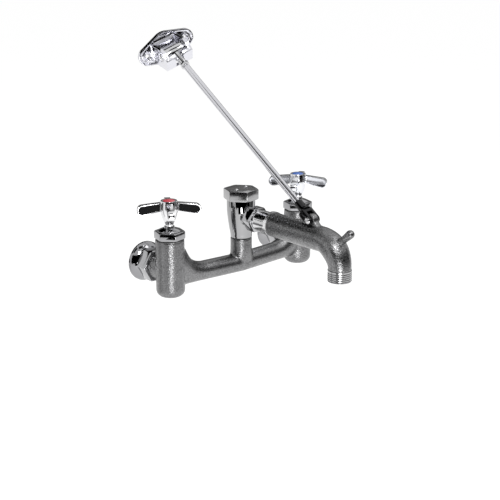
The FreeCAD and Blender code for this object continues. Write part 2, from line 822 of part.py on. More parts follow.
def handleScrew(side, at):
    base = "hubTop - indexSeat - handleWell"
    piece(revolve(side + "HandleScrew", [
        (0, "stemTop - handleScrewLength + boreSpare"),
        ("handleScrewShank", "stemTop - handleScrewLength + boreSpare"),
        ("handleScrewShank", base),
        ("handleScrewHead", base),
        ("handleScrewHead", f"{base} + handleScrewHeadHeight - chamferEnd"),
        ("handleScrewHead - chamferEnd", f"{base} + handleScrewHeadHeight"),
        (0, f"{base} + handleScrewHeadHeight"),
    ], at), side + "_handle_screw")


def indexButton(side, at):
    piece(revolve(side + "IndexButton", [
        (0, "hubTop - indexSeat"),
        ("indexRadius", "hubTop - indexSeat"),
        ("indexRadius", "hubTop"),
        ("domeFlat", "hubTop + indexDome", "indexCurve", 1),
        (0, "hubTop + indexDome"),
    ], at), side + "_index_button")


# Supply arms

def couplingNut(side, at):
    flats = "couplingAcrossFlats"
    bore = "spigotRadius + threadClearance"
    blank = revolve(side + "CouplingBlank", nutOutline(bore, flats, "couplingFront", "couplingBack", "couplingChamfer"),
                    at, alongY)
    hexagon = prism(side + "CouplingHexagon", flats, "couplingLength", (at[0], "couplingFront", 0), alongY)
    shoulderRing = ring(side + "CouplingShoulder", "armNeckRadius + looseClearance", "spigotRadius + 1",
                        "armCollarBack", "couplingBack", at, alongY)
    wall = common(side + "CouplingHex", blank, hexagon)
    piece(fuse(side + "CouplingNut", [wall, shoulderRing]), side + "_coupling_nut")


def couplingWasher(side, at):
    piece(ring(side + "CouplingWasher", "inletBoreRadius", "armCollarRadius", "spigotEnd", "armCollarFront",
               at, alongY), side + "_coupling_washer")


def supplyArm(side, at):
    """Shank with the collar that the nut pulls on, and the domed flange round the threaded inlet."""
    piece(revolve(side + "SupplyArm", [
        ("inletBoreRadius - 0.8", "armCollarFront"),
        ("armCollarRadius", "armCollarFront"),
        ("armCollarRadius", "armCollarBack"),
        ("armNeckRadius", "armCollarBack"),
        ("armNeckRadius", "-flangeDepth"),
        ("flangeRadius", "-flangeRim", "flangeCurve", 1),
        ("flangeRadius", 0),
        ("inletThreadRadius", 0),
        ("inletThreadRadius", "-inletThreadLength"),
        ("inletBoreRadius - 0.8", "-inletThreadLength"),
    ], at, alongY), side + "_supply_arm")


# Vacuum breaker

breakerAt = (0, "breakerY", 0)


def breakerGasket():
    inner = "breakerThreadRadius + looseClearance"
    piece(ring("breakerGasket", inner, "breakerBaseRadius - 0.6", "bossTop", "breakerLow", breakerAt),
          "breaker_gasket")


def breakerBody():
    """Cup on a screwed stub, open at the top through the air seat, with the outlet nipple in front."""
    outside = revolve("breakerOutside", [
        (0, "bossTop - breakerThreadLength"),
        ("breakerThreadRadius", "bossTop - breakerThreadLength"),
        ("breakerThreadRadius", "breakerLow"),
        ("breakerBaseRadius", "breakerLow"),
        ("breakerBaseRadius", "breakerLow + breakerBaseHeight"),
        ("breakerRadius", "breakerShoulder", "breakerCurve", 1),
        ("breakerRadius", "breakerTop"),
        ("breakerNeckRadius", "breakerTop"),
        ("breakerNeckRadius", "capThreadTop"),
        (0, "capThreadTop"),
    ], breakerAt)
    nipple = cylinder("breakerNipple", "nippleRadius", "nippleReach", (0, "breakerY", "spoutHeight"), alongFront)
    inside = revolve("breakerInside", [
        (0, "bossTop - breakerThreadLength"),
        ("breakerInlet", "bossTop - breakerThreadLength"),
        ("breakerInlet", "breakerFloor"),
        ("breakerChamber", "breakerFloor"),
        ("breakerChamber", "airSeatLow"),
        ("airPortRadius", "airSeatLow"),
        ("airPortRadius", "breakerTop"),
        ("breakerChamber", "breakerTop"),
        ("breakerChamber", "capThreadTop"),
        (0, "capThreadTop"),
    ], breakerAt)
    outlet = cylinder("breakerOutlet", "nippleBore", "nippleReach", (0, "breakerY", "spoutHeight"), alongFront)
    piece(cut("breakerBody", fuse("breakerSolid", [outside, nipple]), [inside, outlet]), "breaker_body")


def breakerCap():
    """Hexagonal hood screwed on the cup, with the guide for the float's spindle."""
    flats = "capAcrossFlats"
    turn = Rotation(Vector(0, 0, 1), sizes["capAngle"])
    blank = revolve("capBlank", nutOutline(0, flats, "capLow", "capTop", "capChamfer"), breakerAt)
    hexagon = prism("capHexagon", flats, "capHeight", (0, "breakerY", "capLow"), turn)
    hexagon.setExpression("Placement.Rotation.Angle", formula("capAngle"))
    hood = common("capHex", blank, hexagon)
    hollow = revolve("capHollow", [
        ("guideRadius", "capLow"),
        ("breakerRadius + capClearance", "capLow"),
        ("breakerRadius + capClearance", "breakerTop"),
        ("breakerNeckRadius + threadClearance", "breakerTop"),
        ("breakerNeckRadius + threadClearance", "capUnder"),
        ("guideRadius", "capUnder"),
    ], breakerAt)
    below = cylinder("capBelowGuide", "guideRadius", "guideLow - capLow + capSkirt", (0, "breakerY", "capLow - capSkirt"))
    spindle = cylinder("capSpindleHole", "floatSpindle + runningClearance", "capUnder - guideLow",
                       (0, "breakerY", "guideLow"))
    holes = [cylinder(f"capHole{index}", "capScrewShank + threadClearance", "capPlate", capScrewPlace(sign, "capUnder"))
             for index, sign in enumerate((-1, 1))]
    piece(cut("breakerCap", hood, [hollow, below, spindle] + holes), "breaker_cap")


def capScrewPlace(sign, height):
    """Point on the axis of one of the two hood screws."""
    x = f"{sign} * capScrewSpacing / 2 * cos(capScrewAngle)"
    y = f"breakerY + {sign} * capScrewSpacing / 2 * sin(capScrewAngle)"
    return (x, y, height)


def capScrews():
    screws = []
    for index, sign in enumerate((-1, 1)):
        screws.append(revolve(f"capScrew{index}", [
            (0, "-capPlate"),
            ("capScrewShank", "-capPlate"),
            ("capScrewShank", 0),
            ("capScrewHead", 0),
            ("capScrewHead", "capScrewHeadHeight / 3"),
            ("domeFlat", "capScrewHeadHeight", "capScrewHead + looseClearance", 1),
            (0, "capScrewHeadHeight"),
        ], capScrewPlace(sign, "capTop")))
    group = doc.addObject("Part::Compound", "capScrews")
    group.Links = screws
    piece(group, "breaker_cap_screws")


def breakerFloat():
    piece(revolve("breakerFloat", [
        (0, "floatLow"),
        ("floatCore + floatFoot", "floatLow"),
        ("floatCore + floatFoot", "floatLow + floatFoot"),
        ("floatCore", "floatLow + floatFlare"),
        ("floatCore", "floatTop - floatRimThickness - floatFlare"),
        ("floatRim", "floatTop - floatRimThickness"),
        ("floatRim", "floatTop"),
        ("floatSpindle", "floatTop"),
        ("floatSpindle", "floatTip"),
        (0, "floatTip"),
    ], breakerAt), "breaker_float")


def floatWasher():
    piece(revolve("floatWasher", [
        (0, "breakerFloor"),
        ("floatWasherRadius", "breakerFloor"),
        ("floatWasherRadius", "floatLow"),
        (0, "floatLow"),
    ], breakerAt), "breaker_float_washer")


# Spout

spoutAt = (0, "breakerY", "spoutHeight")


def spoutNut():
    flats = "spoutNutAcrossFlats"
    bore = "nippleRadius + threadClearance"
    blank = revolve("spoutNutBlank", nutOutline(bore, flats, "spoutNutBack", "spoutNutFront", "spoutNutChamfer"),
                    spoutAt, alongFront)
    hexagon = prism("spoutNutHexagon", flats, "spoutNutLength", (0, "breakerY - spoutNutBack", "spoutHeight"),
                    alongFront)
    shoulderRing = ring("spoutNutShoulderRing", "spoutNeckRadius + looseClearance", "nippleRadius + 1",
                        "collarFront", "spoutNutFront", spoutAt, alongFront)
    piece(fuse("spoutNut", [common("spoutNutHex", blank, hexagon), shoulderRing]), "spout_nut")


def spoutWasher():
    piece(ring("spoutWasher", "nippleBore", "spoutCollarRadius", "nippleReach", "spoutWasherFront",
               spoutAt, alongFront), "spout_washer")


def spoutRun(name, radius, start):
    """Straight part of the spout, up to where the bend starts."""
    return cylinder(name, radius, f"bendStart - ({start})", (0, f"breakerY - ({start})", "spoutHeight"), alongFront)


def spoutDrop(name, radius, drop):
    """Part of the spout below the bend."""
    at = (0, "breakerY - spoutReach", f"spoutHeight - ({drop})")
    return cylinder(name, radius, f"{drop} - bendRadius", at)


def elbowOutside():
    """Cast bend: circles that swell round the turn and narrow to the drop."""
    sections = []
    widths = ("spoutRadius", "(spoutRadius + elbowRadius) / 2", "elbowRadius", "(elbowRadius + dropRadius) / 2",
              "dropRadius")
    for index, width in enumerate(widths):
        angle = 90 * index / (len(widths) - 1)
        at = (0, f"breakerY - bendStart - bendRadius * sin({angle})",
              f"spoutHeight - bendRadius * (1 - cos({angle}))")
        sections.append(circle(f"elbowRing{index}", width, at, Rotation(Vector(1, 0, 0), 90 + angle)))
    return loft("elbow", sections)


def elbowInside():
    elbow = doc.addObject("Part::Torus", "elbowWater")
    bind(elbow, Radius1="bendRadius", Radius2="spoutBore")
    elbow.Angle3 = 90
    quarter = Rotation(Vector(0, 0, 1), Vector(0, -1, 0), Vector(1, 0, 0), "XYZ")
    return place(elbow, (0, "breakerY - bendStart", "spoutHeight - bendRadius"), quarter)


def spoutLug():
    """Tab on top of the spout for the brace's fork."""
    low = "spoutRadius - lugSink"
    return slab("spoutLug", "YZ_Plane", [
        ("lugFoot", low),
        ("lugRadius", "lugRise"),
        (0, "lugRise + lugRadius", "lugRadius", 1),
        ("-lugRadius", "lugRise", "lugRadius", 1),
        ("-lugFoot", low),
    ], "lugThickness", (0, "breakerY - lugReach", "spoutHeight"))


def pailHook():
    """Nub with a rounded knob on the outside of the bend, which keeps a pail's handle on the spout."""
    stem = "hookLength - hookKnobRadius"
    turn = Rotation(Vector(1, 0, 0), 90 - sizes["hookTilt"])
    out = "(bendRadius + spoutRadius - hookSink)"
    y = f"breakerY - bendStart - {out} * sin(hookAngle)"
    z = f"spoutHeight - bendRadius + {out} * cos(hookAngle)"
    hook = revolve("pailHook", [
        (0, 0),
        ("hookRadius + hookFlare", 0),
        ("hookRadius", "hookLength / 2", "hookLength", -1),
        ("hookKnobRadius", stem),
        ("domeFlat", "hookLength", "hookKnobRadius", 1),
        (0, "hookLength"),
    ], (0, y, z), turn)
    hook.setExpression("Placement.Rotation.Angle", formula("90 - hookTilt"))
    return hook


def spout():
    """Sleeve, tapering casting, quarter bend down and the threaded hose end."""
    tail = revolve("spoutTail", [
        (0, "spoutWasherFront"),
        ("spoutCollarRadius", "spoutWasherFront"),
        ("spoutCollarRadius", "collarFront"),
        ("spoutNeckRadius", "collarFront"),
        ("spoutNeckRadius", "sleeveBack"),
        ("spoutSleeveRadius", "sleeveBack"),
        ("spoutSleeveRadius", "sleeveFront"),
        ("spoutRadius", "taperFront"),
        (0, "taperFront"),
    ], spoutAt, alongFront)
    thread = revolve("hoseThread", [
        (0, 0),
        ("hoseThreadRadius - hoseChamfer", 0),
        ("hoseThreadRadius", "hoseChamfer"),
        ("hoseThreadRadius", "hoseThreadLength"),
        (0, "hoseThreadLength"),
    ], (0, "breakerY - spoutReach", "spoutHeight - mouthDrop"))
    outside = [
        tail,
        thread,
        spoutLug(),
        pailHook(),
        spoutRun("spoutOuterRun", "spoutRadius", "taperFront"),
        elbowOutside(),
        spoutDrop("spoutOuterDrop", "dropRadius", "neckDrop"),
    ]
    mouthAt = (0, "breakerY - spoutReach", "spoutHeight - mouthDrop")
    water = [
        spoutRun("spoutWaterRun", "spoutBore", "spoutWasherFront"),
        elbowInside(),
        spoutDrop("spoutWaterDrop", "spoutBore", "mouthDrop"),
        cylinder("hoseMouthBore", "hoseMouth", "hoseMouthDepth", mouthAt),
    ]
    pinAt = ("-lugThickness", "breakerY - lugReach", "lugHeight")
    water.append(cylinder("lugHole", "pinRadius + runningClearance", "2 * lugThickness", pinAt, alongX))
    piece(cut("spout", fuse("spoutSolid", outside), water), "spout")


# Brace. Its own Z axis runs from the lug pin to the bracket pin.


def lieBy(thing, y, z, *turns):
    """Put a thing on the middle plane, turned about one axis after another."""
    axes = {"x": "vector(1; 0; 0)", "y": "vector(0; 1; 0)", "z": "vector(0; 0; 1)"}
    turning = " * ".join(f"rotation({axes[axis]}; {formula(angle)})" for axis, angle in turns)
    thing.setExpression("Placement", f"placement(vector(0; {formula(y)}; {formula(z)}); {turning})")
    return thing


def onBrace(thing):
    """Lay a thing made along Z on the line of the brace."""
    return lieBy(thing, "braceY", "lugHeight", ("x", "braceElevation - 90"))


def forkPin():
    half = "forkWidth / 2"
    piece(revolve("forkPin", [
        (0, f"-{half} - pinHeadHeight"),
        ("domeFlat", f"-{half} - pinHeadHeight"),
        ("pinHeadRadius", f"-{half} - pinHeadEdge", "pinHeadCurve", 1),
        ("pinHeadRadius", f"-{half}"),
        ("pinRadius", f"-{half}"),
        ("pinRadius", half),
        ("pinHeadRadius", half),
        ("pinHeadRadius", f"{half} + pinHeadEdge"),
        ("domeFlat", f"{half} + pinHeadHeight", "pinHeadCurve", 1),
        (0, f"{half} + pinHeadHeight"),
    ], (0, "braceY", "lugHeight"), alongX), "fork_pin")


def braceFork():
    """Sleeve for the rod, with two tines that straddle the lug."""
    width = "2 * tineRadius"
    block = box("forkBlock", "forkWidth", width, "forkShoulder", ("-forkWidth / 2", "-tineRadius", 0))
    end = cylinder("forkEnd", "tineRadius", "forkWidth", ("-forkWidth / 2", 0, 0), alongX)
    neck = cone("forkNeck", "forkWidth / 2", "forkSleeveRadius", "forkNeckLength", (0, 0, "forkShoulder"))
    sleeve = cylinder("forkSleeve", "forkSleeveRadius", "forkLength - forkShoulder", (0, 0, "forkShoulder"))
    slot = box("forkSlot", "lugThickness + 2 * looseClearance", f"2 * {width}", "forkCrotch + 2 * tineRadius",
               ("-lugThickness / 2 - looseClearance", "-2 * tineRadius", "-2 * tineRadius"))
    hole = cylinder("forkHole", "pinRadius + runningClearance", "forkWidth", ("-forkWidth / 2", 0, 0), alongX)
    socket = cylinder("forkSocket", "rodRadius + threadClearance", "forkSocket", (0, 0, "forkLength - forkSocket"))
    solid = fuse("forkSolid", [block, end, neck, sleeve])
    piece(onBrace(cut("braceFork", solid, [slot, hole, socket])), "brace_fork")


def braceRod():
    piece(onBrace(revolve("braceRod", [
        (0, "forkLength - forkSocket"),
        ("rodRadius", "forkLength - forkSocket"),
        ("rodRadius", "rodTipStart"),
        ("rodTipRadius", "rodTipStart + rodShoulder"),
        ("rodTipRadius", "braceLength - rodTipGap"),
        (0, "braceLength - rodTipGap"),
    ])), "brace_rod")


def jamNut():
    flats = "jamNutAcrossFlats"
    low = "braceLength - eyeNeckEnd - jamNutThickness"
    high = "braceLength - eyeNeckEnd"
    bore = "rodTipRadius + threadClearance"
    blank = revolve("jamNutBlank", nutOutline(bore, flats, low, high, "chamferEnd"))
    hexagon = prism("jamNutHexagon", flats, "jamNutThickness", (0, 0, low))
    piece(onBrace(common("jamNut", blank, hexagon)), "jam_nut")


def rodEye():
    """Cross barrel on the bracket pin, with a neck that the rod screws into."""
    barrel = cylinder("eyeBarrel", "eyeRadius", "eyeWidth", ("-eyeWidth / 2", 0, "braceLength"), alongX)
    neck = cylinder("eyeNeck", "eyeNeckRadius", "eyeNeckEnd", (0, 0, "braceLength - eyeNeckEnd"))
    hole = cylinder("eyeHole", "bracketPinRadius + runningClearance", "eyeWidth",
                    ("-eyeWidth / 2", 0, "braceLength"), alongX)
    bore = cylinder("eyeBore", "rodTipRadius + threadClearance", "eyeNeckEnd - eyeBoreEnd",
                    (0, 0, "braceLength - eyeNeckEnd"))
    solid = fuse("eyeSolid", [barrel, neck])
    piece(lieBy(cut("rodEye", solid, [hole, bore]), "braceY", "lugHeight",
                ("x", "braceElevation - 90"), ("z", "-bracketSpin")), "rod_eye")


# Wall bracket. Its own Y axis points to the wall and its own X axis is the pin.

def onBracket(thing):
    return lieBy(thing, "pivotY", "pivotZ", ("x", "braceElevation"), ("y", "-bracketSpin"), ("x", "-bracketTilt"))


def plateBlank(name, inset, thickness, start):
    """Two-bolt flange: a middle disc and two end discs joined by their tangents."""
    slope = "((plateRadius - plateEndRadius) / (screwSpacing / 2))"
    level = f"sqrt(1 - {slope}^2)"
    middle = f"(plateRadius - {inset})"
    end = f"(plateEndRadius - {inset})"
    x1 = f"{middle} * {slope}"
    z1 = f"{middle} * {level}"
    x2 = f"screwSpacing / 2 + {end} * {slope}"
    z2 = f"{end} * {level}"
    web = slab(name + "Web", "XZ_Plane", [
        (f"-({x2})", f"-({z2})"),
        (f"-({x1})", f"-({z1})"),
        (x1, f"-({z1})"),
        (x2, f"-({z2})"),
        (x2, z2),
        (x1, z1),
        (f"-({x1})", z1),
        (f"-({x2})", z2),
    ], thickness, (0, f"{start} + ({thickness}) / 2", 0))
    discs = [cylinder(name + "Middle", middle, thickness, (0, start, 0), alongY)]
    for index, sign in enumerate((-1, 1)):
        at = (f"{sign} * screwSpacing / 2", start, 0)
        discs.append(cylinder(f"{name}End{index}", end, thickness, at, alongY))
    return fuse(name, [web] + discs)


def wallBracket():
    plate = plateBlank("plate", "0", "plateThickness", "pinStandoff")
    recess = plateBlank("plateHollow", "plateRim", "plateRecess", "pinStandoff")
    rimmed = cut("rimmedPlate", plate, [recess])
    pads = []
    holes = []
    for index, sign in enumerate((-1, 1)):
        x = f"{sign} * screwSpacing / 2"
        pads.append(cylinder(f"screwPad{index}", "screwPadRadius", "2 * screwPadHeight", (x, "padStart", 0), alongY))
        holes.append(cylinder(f"screwHole{index}", "screwHoleRadius", "2 * plateThickness",
                              (x, "pinStandoff - plateThickness / 2", 0), alongY))
        holes.append(cone(f"screwSink{index}", "screwHoleRadius + screwSink", "screwHoleRadius", "screwSink",
                          (x, "padStart", 0), alongY))
    out = ("cos(webAngle)", "sin(webAngle)")
    footY = f"-webDistance * {out[0]}"
    footZ = f"-webDistance * {out[1]}"
    lowY = f"{footY} + webBelow * {out[1]}"
    lowZ = f"{footZ} - webBelow * {out[0]}"
    highY = f"{footY} - webAbove * {out[1]}"
    highZ = f"{footZ} + webAbove * {out[0]}"
    yoke = slab("yoke", "YZ_Plane", [
        ("pinStandoff + plateRecess", "-yokeBottom"),
        ("pinStandoff + plateRecess", "yokeTop"),
        ("-yokeNose", "yokeTop"),
        (f"{highY} + yokeShoulder", "yokeTop - yokeSlope"),
        (highY, highZ),
        (lowY, lowZ),
    ], "yokeWidth")
    far = "yokeSpare"
    innerY = f"{footY} + webWall * {out[0]}"
    innerZ = f"{footZ} + webWall * {out[1]}"
    gap = slab("yokeInside", "YZ_Plane", [
        ("pinStandoff + plateRecess", f"-{far}"),
        ("pinStandoff + plateRecess", far),
        (f"{innerY} - {far} * {out[1]}", f"{innerZ} + {far} * {out[0]}"),
        (f"{innerY} + {far} * {out[1]}", f"{innerZ} - {far} * {out[0]}"),
    ], "yokeGap")
    corners = []
    for along, across in (("slotBelow", "-slotFront"), ("slotBelow", "slotBack"), ("-yokeSpare", "slotBack"),
                          ("-yokeSpare", "-slotFront")):
        corners.append((f"{footY} + {along} * {out[1]} + {across} * {out[0]}",
                        f"{footZ} - {along} * {out[0]} + {across} * {out[1]}"))
    slot = slab("neckSlot", "YZ_Plane", corners, "slotWidth")
    pinHole = cylinder("pinHole", "bracketPinRadius + bracketPinFit", "yokeWidth", ("-yokeWidth / 2", 0, 0), alongX)
    yokeSolid = cut("yokeSolid", yoke, [gap, slot, pinHole])
    solid = fuse("bracketSolid", [rimmed, yokeSolid] + pads)
    piece(onBracket(cut("wallBracket", solid, holes)), "wall_bracket")


def bracketPin():
    half = "yokeWidth / 2"
    turned = revolve("bracketPinTurned", [
        (0, f"-{half} - bracketPinHeadHeight"),
        ("domeFlat", f"-{half} - bracketPinHeadHeight"),
        ("bracketPinHead", f"-{half} - bracketPinHeadEdge", "bracketPinHeadCurve", 1),
        ("bracketPinHead", f"-{half}"),
        ("bracketPinRadius", f"-{half}"),
        ("bracketPinRadius", half),
        ("bracketPinHead", half),
        ("bracketPinHead", f"{half} + bracketPinHeadEdge"),
        ("domeFlat", f"{half} + bracketPinHeadHeight", "bracketPinHeadCurve", 1),
        (0, f"{half} + bracketPinHeadHeight"),
    ], turn=alongX)
    piece(onBracket(fuse("bracketPin", [turned, cylinder("bracketPinCore", "bracketPinRadius", "yokeWidth",
                                                        ("-yokeWidth / 2", 0, 0), alongX)])), "bracket_pin")


faucetBody()
for side, sign, angle in (("hot", -1, sizes["hotHandleAngle"]), ("cold", 1, sizes["coldHandleAngle"])):
    valveAt = (f"{sign} * valveX", "-inletReach", 0)
    seat(side, valveAt)
    seatWasher(side, valveAt)
    washerScrew(side, valveAt)
    stem(side, valveAt, angle)
    bonnet(side, valveAt)
    bonnetGasket(side, valveAt)
    packing(side, valveAt)
    packingNut(side, valveAt)
    handle(side, valveAt, angle)
    handleScrew(side, valveAt)
    indexButton(side, valveAt)
    inletAt = (f"{sign} * valveX", 0, 0)
    couplingNut(side, inletAt)
    couplingWasher(side, inletAt)
    supplyArm(side, inletAt)
breakerGasket()
breakerBody()
breakerCap()
capScrews()
breakerFloat()
floatWasher()
spoutNut()
spoutWasher()
spout()
forkPin()
braceFork()
braceRod()
jamNut()
rodEye()
wallBracket()
bracketPin()
doc.recompute()

faults = [item.Name for item in doc.Objects if "Invalid" in item.State or "Error" in item.State]
for thing in pieces:
    if thing.Shape.isNull() or not thing.Shape.isValid() or not thing.Shape.Solids:
        faults.append(thing.Label)
if faults:
    raise RuntimeError("not built: " + ", ".join(faults))
for thing in pieces:
    thing.Shape.exportStep(os.path.join("parts", thing.Label + ".step"))
    print(thing.Label, len(thing.Shape.Solids), round(thing.Shape.Volume, 1))
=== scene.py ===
import bpy
import json
import math
from mathutils import Matrix, Vector


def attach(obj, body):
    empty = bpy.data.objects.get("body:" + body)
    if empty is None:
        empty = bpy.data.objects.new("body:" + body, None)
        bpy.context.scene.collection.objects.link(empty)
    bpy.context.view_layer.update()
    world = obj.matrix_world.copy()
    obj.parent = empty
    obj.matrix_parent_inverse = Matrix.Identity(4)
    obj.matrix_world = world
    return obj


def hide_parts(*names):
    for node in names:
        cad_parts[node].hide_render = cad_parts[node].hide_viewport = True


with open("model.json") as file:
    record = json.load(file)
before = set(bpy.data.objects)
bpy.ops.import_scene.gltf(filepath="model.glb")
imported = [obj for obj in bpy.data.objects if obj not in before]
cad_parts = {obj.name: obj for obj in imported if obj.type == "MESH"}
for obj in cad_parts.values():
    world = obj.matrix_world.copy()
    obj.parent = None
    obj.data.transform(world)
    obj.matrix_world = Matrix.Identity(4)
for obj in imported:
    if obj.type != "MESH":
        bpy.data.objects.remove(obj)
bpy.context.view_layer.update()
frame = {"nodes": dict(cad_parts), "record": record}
mm = 0.001
weldWithin = 0.002 * mm      # points of a node that are this near become one
nodes = frame["nodes"]
bodyOf = {node: body for body, group in frame["record"]["behaviour"]["bodies"].items()
          for node in group}
slotOf = {part["node"]: part["material_slot"] for part in frame["record"]["subparts"]}
print("frame loaded:", len(nodes), "nodes")


# small tools

def only(piece):
    # an operator acts on everything selected, so one piece is left selected
    if bpy.context.object and bpy.context.object.mode != "OBJECT":
        bpy.ops.object.mode_set(mode="OBJECT")
    bpy.ops.object.select_all(action="DESELECT")
    piece.select_set(True)
    bpy.context.view_layer.objects.active = piece


def editAll(piece):
    # into edit mode, with the whole mesh selected
    only(piece)
    bpy.ops.object.mode_set(mode="EDIT")
    bpy.ops.mesh.select_all(action="SELECT")


def leaveEdit():
    bpy.ops.object.mode_set(mode="OBJECT")


def settle(piece):
    # the place of a finished piece is in its mesh
    only(piece)
    bpy.ops.object.transform_apply(location=True, rotation=True, scale=True)
    return piece


def applyModifier(piece, kind, **settings):
    only(piece)
    modifier = piece.modifiers.new(kind.title(), kind)
    for key, value in settings.items():
        setattr(modifier, key, value)
    bpy.ops.object.modifier_apply(modifier=modifier.name)


def carve(piece, tool):
    # cut one mesh out of another, and drop the cutter
    applyModifier(piece, "BOOLEAN", operation="DIFFERENCE", solver="EXACT", object=tool)
    bpy.data.objects.remove(tool)


def copyOfNode(node, name):
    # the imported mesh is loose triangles, so the copy is merged first
    piece = bpy.data.objects.new(name, nodes[node].data.copy())
    bpy.context.scene.collection.objects.link(piece)
    editAll(piece)
    bpy.ops.mesh.remove_doubles(threshold=weldWithin)
    bpy.ops.mesh.normals_make_consistent(inside=False)
    leaveEdit()
    piece.data.attributes.active_color_index = -1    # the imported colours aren't shown
    return piece


def standFor(piece, node, material):
    # ride on the node's body, hide the node and take its slot
    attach(piece, bodyOf[node])
    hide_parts(node)
    piece.data.materials.clear()
    piece.data.materials.append(material)


# materials

def feed(tree, socket, value):
    # a socket takes a plain value, or the output of another node
    if isinstance(value, bpy.types.NodeSocket):
        tree.links.new(value, socket)
    else:
        socket.default_value = value


def addNode(tree, kind, inputs=None, **settings):
    made = tree.nodes.new(kind)
    for key, value in settings.items():
        setattr(made, key, value)
    for key, value in (inputs or {}).items():
        feed(tree, made.inputs[key], value)
    return made


def nodeGroup(name, inputs, outputs):
    group = bpy.data.node_groups.new(name, "ShaderNodeTree")
    for kind, label, value in inputs:
        socket = group.interface.new_socket(name=label, in_out="INPUT", socket_type=kind)
        socket.default_value = value
    for label in outputs:
        group.interface.new_socket(name=label, in_out="OUTPUT", socket_type="NodeSocketFloat")
    start = group.nodes.new("NodeGroupInput")
    end = group.nodes.new("NodeGroupOutput")
    return group, start.outputs, end.inputs


def makeNoise(tree, place, scale, detail, roughness=0.5):
    noise = addNode(tree, "ShaderNodeTexNoise",
                    {"Vector": place, "Scale": scale, "Detail": detail, "Roughness": roughness})
    return noise.outputs["Fac"]


def makeMath(tree, operation, first, second, clamp=False):
    made = addNode(tree, "ShaderNodeMath", {0: first, 1: second},
                   operation=operation, use_clamp=clamp)
    return made.outputs[0]


def times(tree, first, second):
    return makeMath(tree, "MULTIPLY", first, second)


def plusShare(tree, base, value, share):
    # base, and a share of value on top
    return makeMath(tree, "ADD", base, times(tree, value, share))


def makeRange(tree, value, low, high, toLow, toHigh):
    made = addNode(tree, "ShaderNodeMapRange", {
        "Value": value, "From Min": low, "From Max": high, "To Min": toLow, "To Max": toHigh,
    }, interpolation_type="SMOOTHSTEP")
    return made.outputs["Result"]


def mixColors(tree, factor, first, second):
    # first and second are colours, or the output that gives one
    mix = addNode(tree, "ShaderNodeMix", {"Factor": factor}, data_type="RGBA")
    for key, value in (("A", first), ("B", second)):
        socket = next(each for each in mix.inputs if each.name == key and each.type == "RGBA")
        feed(tree, socket, (*value, 1) if isinstance(value, tuple) else value)
    return next(each for each in mix.outputs if each.type == "RGBA")


def startMaterial(name):
    material = bpy.data.materials.new(name)
    material.use_nodes = True
    tree = material.node_tree
    coordinates = addNode(tree, "ShaderNodeTexCoord").outputs["Object"]
    return material, tree, tree.nodes["Principled BSDF"], coordinates


def finishShader(tree, shader, color, roughness, height, relief):
    # these three change over the surface; relief is the height of the bump in metres
    bump = addNode(tree, "ShaderNodeBump",
                   {"Height": height, "Distance": relief, "Strength": 1.0})
    feed(tree, shader.inputs["Base Color"], color)
    feed(tree, shader.inputs["Roughness"], roughness)
    feed(tree, shader.inputs["Normal"], bump.outputs["Normal"])


grainLook = {                # scales are for a grain one millimetre wide
    "perMetre": 1000.0,
    "coarseScale": 0.55,     # slow swelling between the grains
    "coarseDetail": 2.0,
    "fineScale": 1.7,        # tooth on the grains
    "fineDetail": 3.0,
    "fineRoughness": 0.6,
    "fineHeight": 0.45,
    "grainScale": 1.5,
    "grainSmoothness": 0.6,
    "grainDepth": 0.5,
    "grainTone": 0.3,        # what a grain's own tone and the tooth give the speckle
    "fineTone": 0.7,
    "speckleLow": 0.28,
    "speckleHigh": 0.72,
    "cloudScale": 0.06,      # patches many grains wide
    "cloudDetail": 3.0,
}


def makeCastGrain():
    # sand-cast skin: grains with a finer tooth, and patches of tone
    look = grainLook
    group, start, end = nodeGroup("castGrain", [
        ("NodeSocketVector", "Coordinates", (0, 0, 0)),
        ("NodeSocketFloat", "Grain Size", 1.0),
    ], ["Height", "Speckle", "Cloud"])
    perGrain = makeMath(group, "DIVIDE", look["perMetre"], start["Grain Size"])
    place = addNode(group, "ShaderNodeVectorMath", {0: start["Coordinates"], "Scale": perGrain},
                    operation="SCALE").outputs["Vector"]
    coarse = makeNoise(group, place, look["coarseScale"], look["coarseDetail"])
    fine = makeNoise(group, place, look["fineScale"], look["fineDetail"], look["fineRoughness"])
    grains = addNode(group, "ShaderNodeTexVoronoi", {
        "Vector": place, "Scale": look["grainScale"], "Smoothness": look["grainSmoothness"],
    }, feature="SMOOTH_F1")
    pits = times(group, grains.outputs["Distance"], look["grainDepth"])
    swelling = plusShare(group, coarse, fine, look["fineHeight"])
    feed(group, end["Height"], makeMath(group, "SUBTRACT", swelling, pits))
    tone = addNode(group, "ShaderNodeSeparateColor", {"Color": grains.outputs["Color"]})
    mixedTone = plusShare(group, times(group, tone.outputs["Red"], look["grainTone"]),
                          fine, look["fineTone"])
    speckle = makeRange(group, mixedTone, look["speckleLow"], look["speckleHigh"], 0.0, 1.0)
    feed(group, end["Speckle"], speckle)
    feed(group, end["Cloud"], makeNoise(group, place, look["cloudScale"], look["cloudDetail"]))
    return group


filmLook = {                 # scales are per metre
    "swirlScale": 160.0,     # faint swirls in the gloss
    "swirlDetail": 4.0,
    "swirlRoughness": 0.6,
    "waveScale": 90.0,       # slow waviness from the buffing wheel
    "waveDetail": 2.0,
    "hairScale": 2600.0,     # hairlines
    "hairDetail": 2.0,
    "hairHeight": 0.02,
    "toneScale": 45.0,
    "toneDetail": 3.0,
}


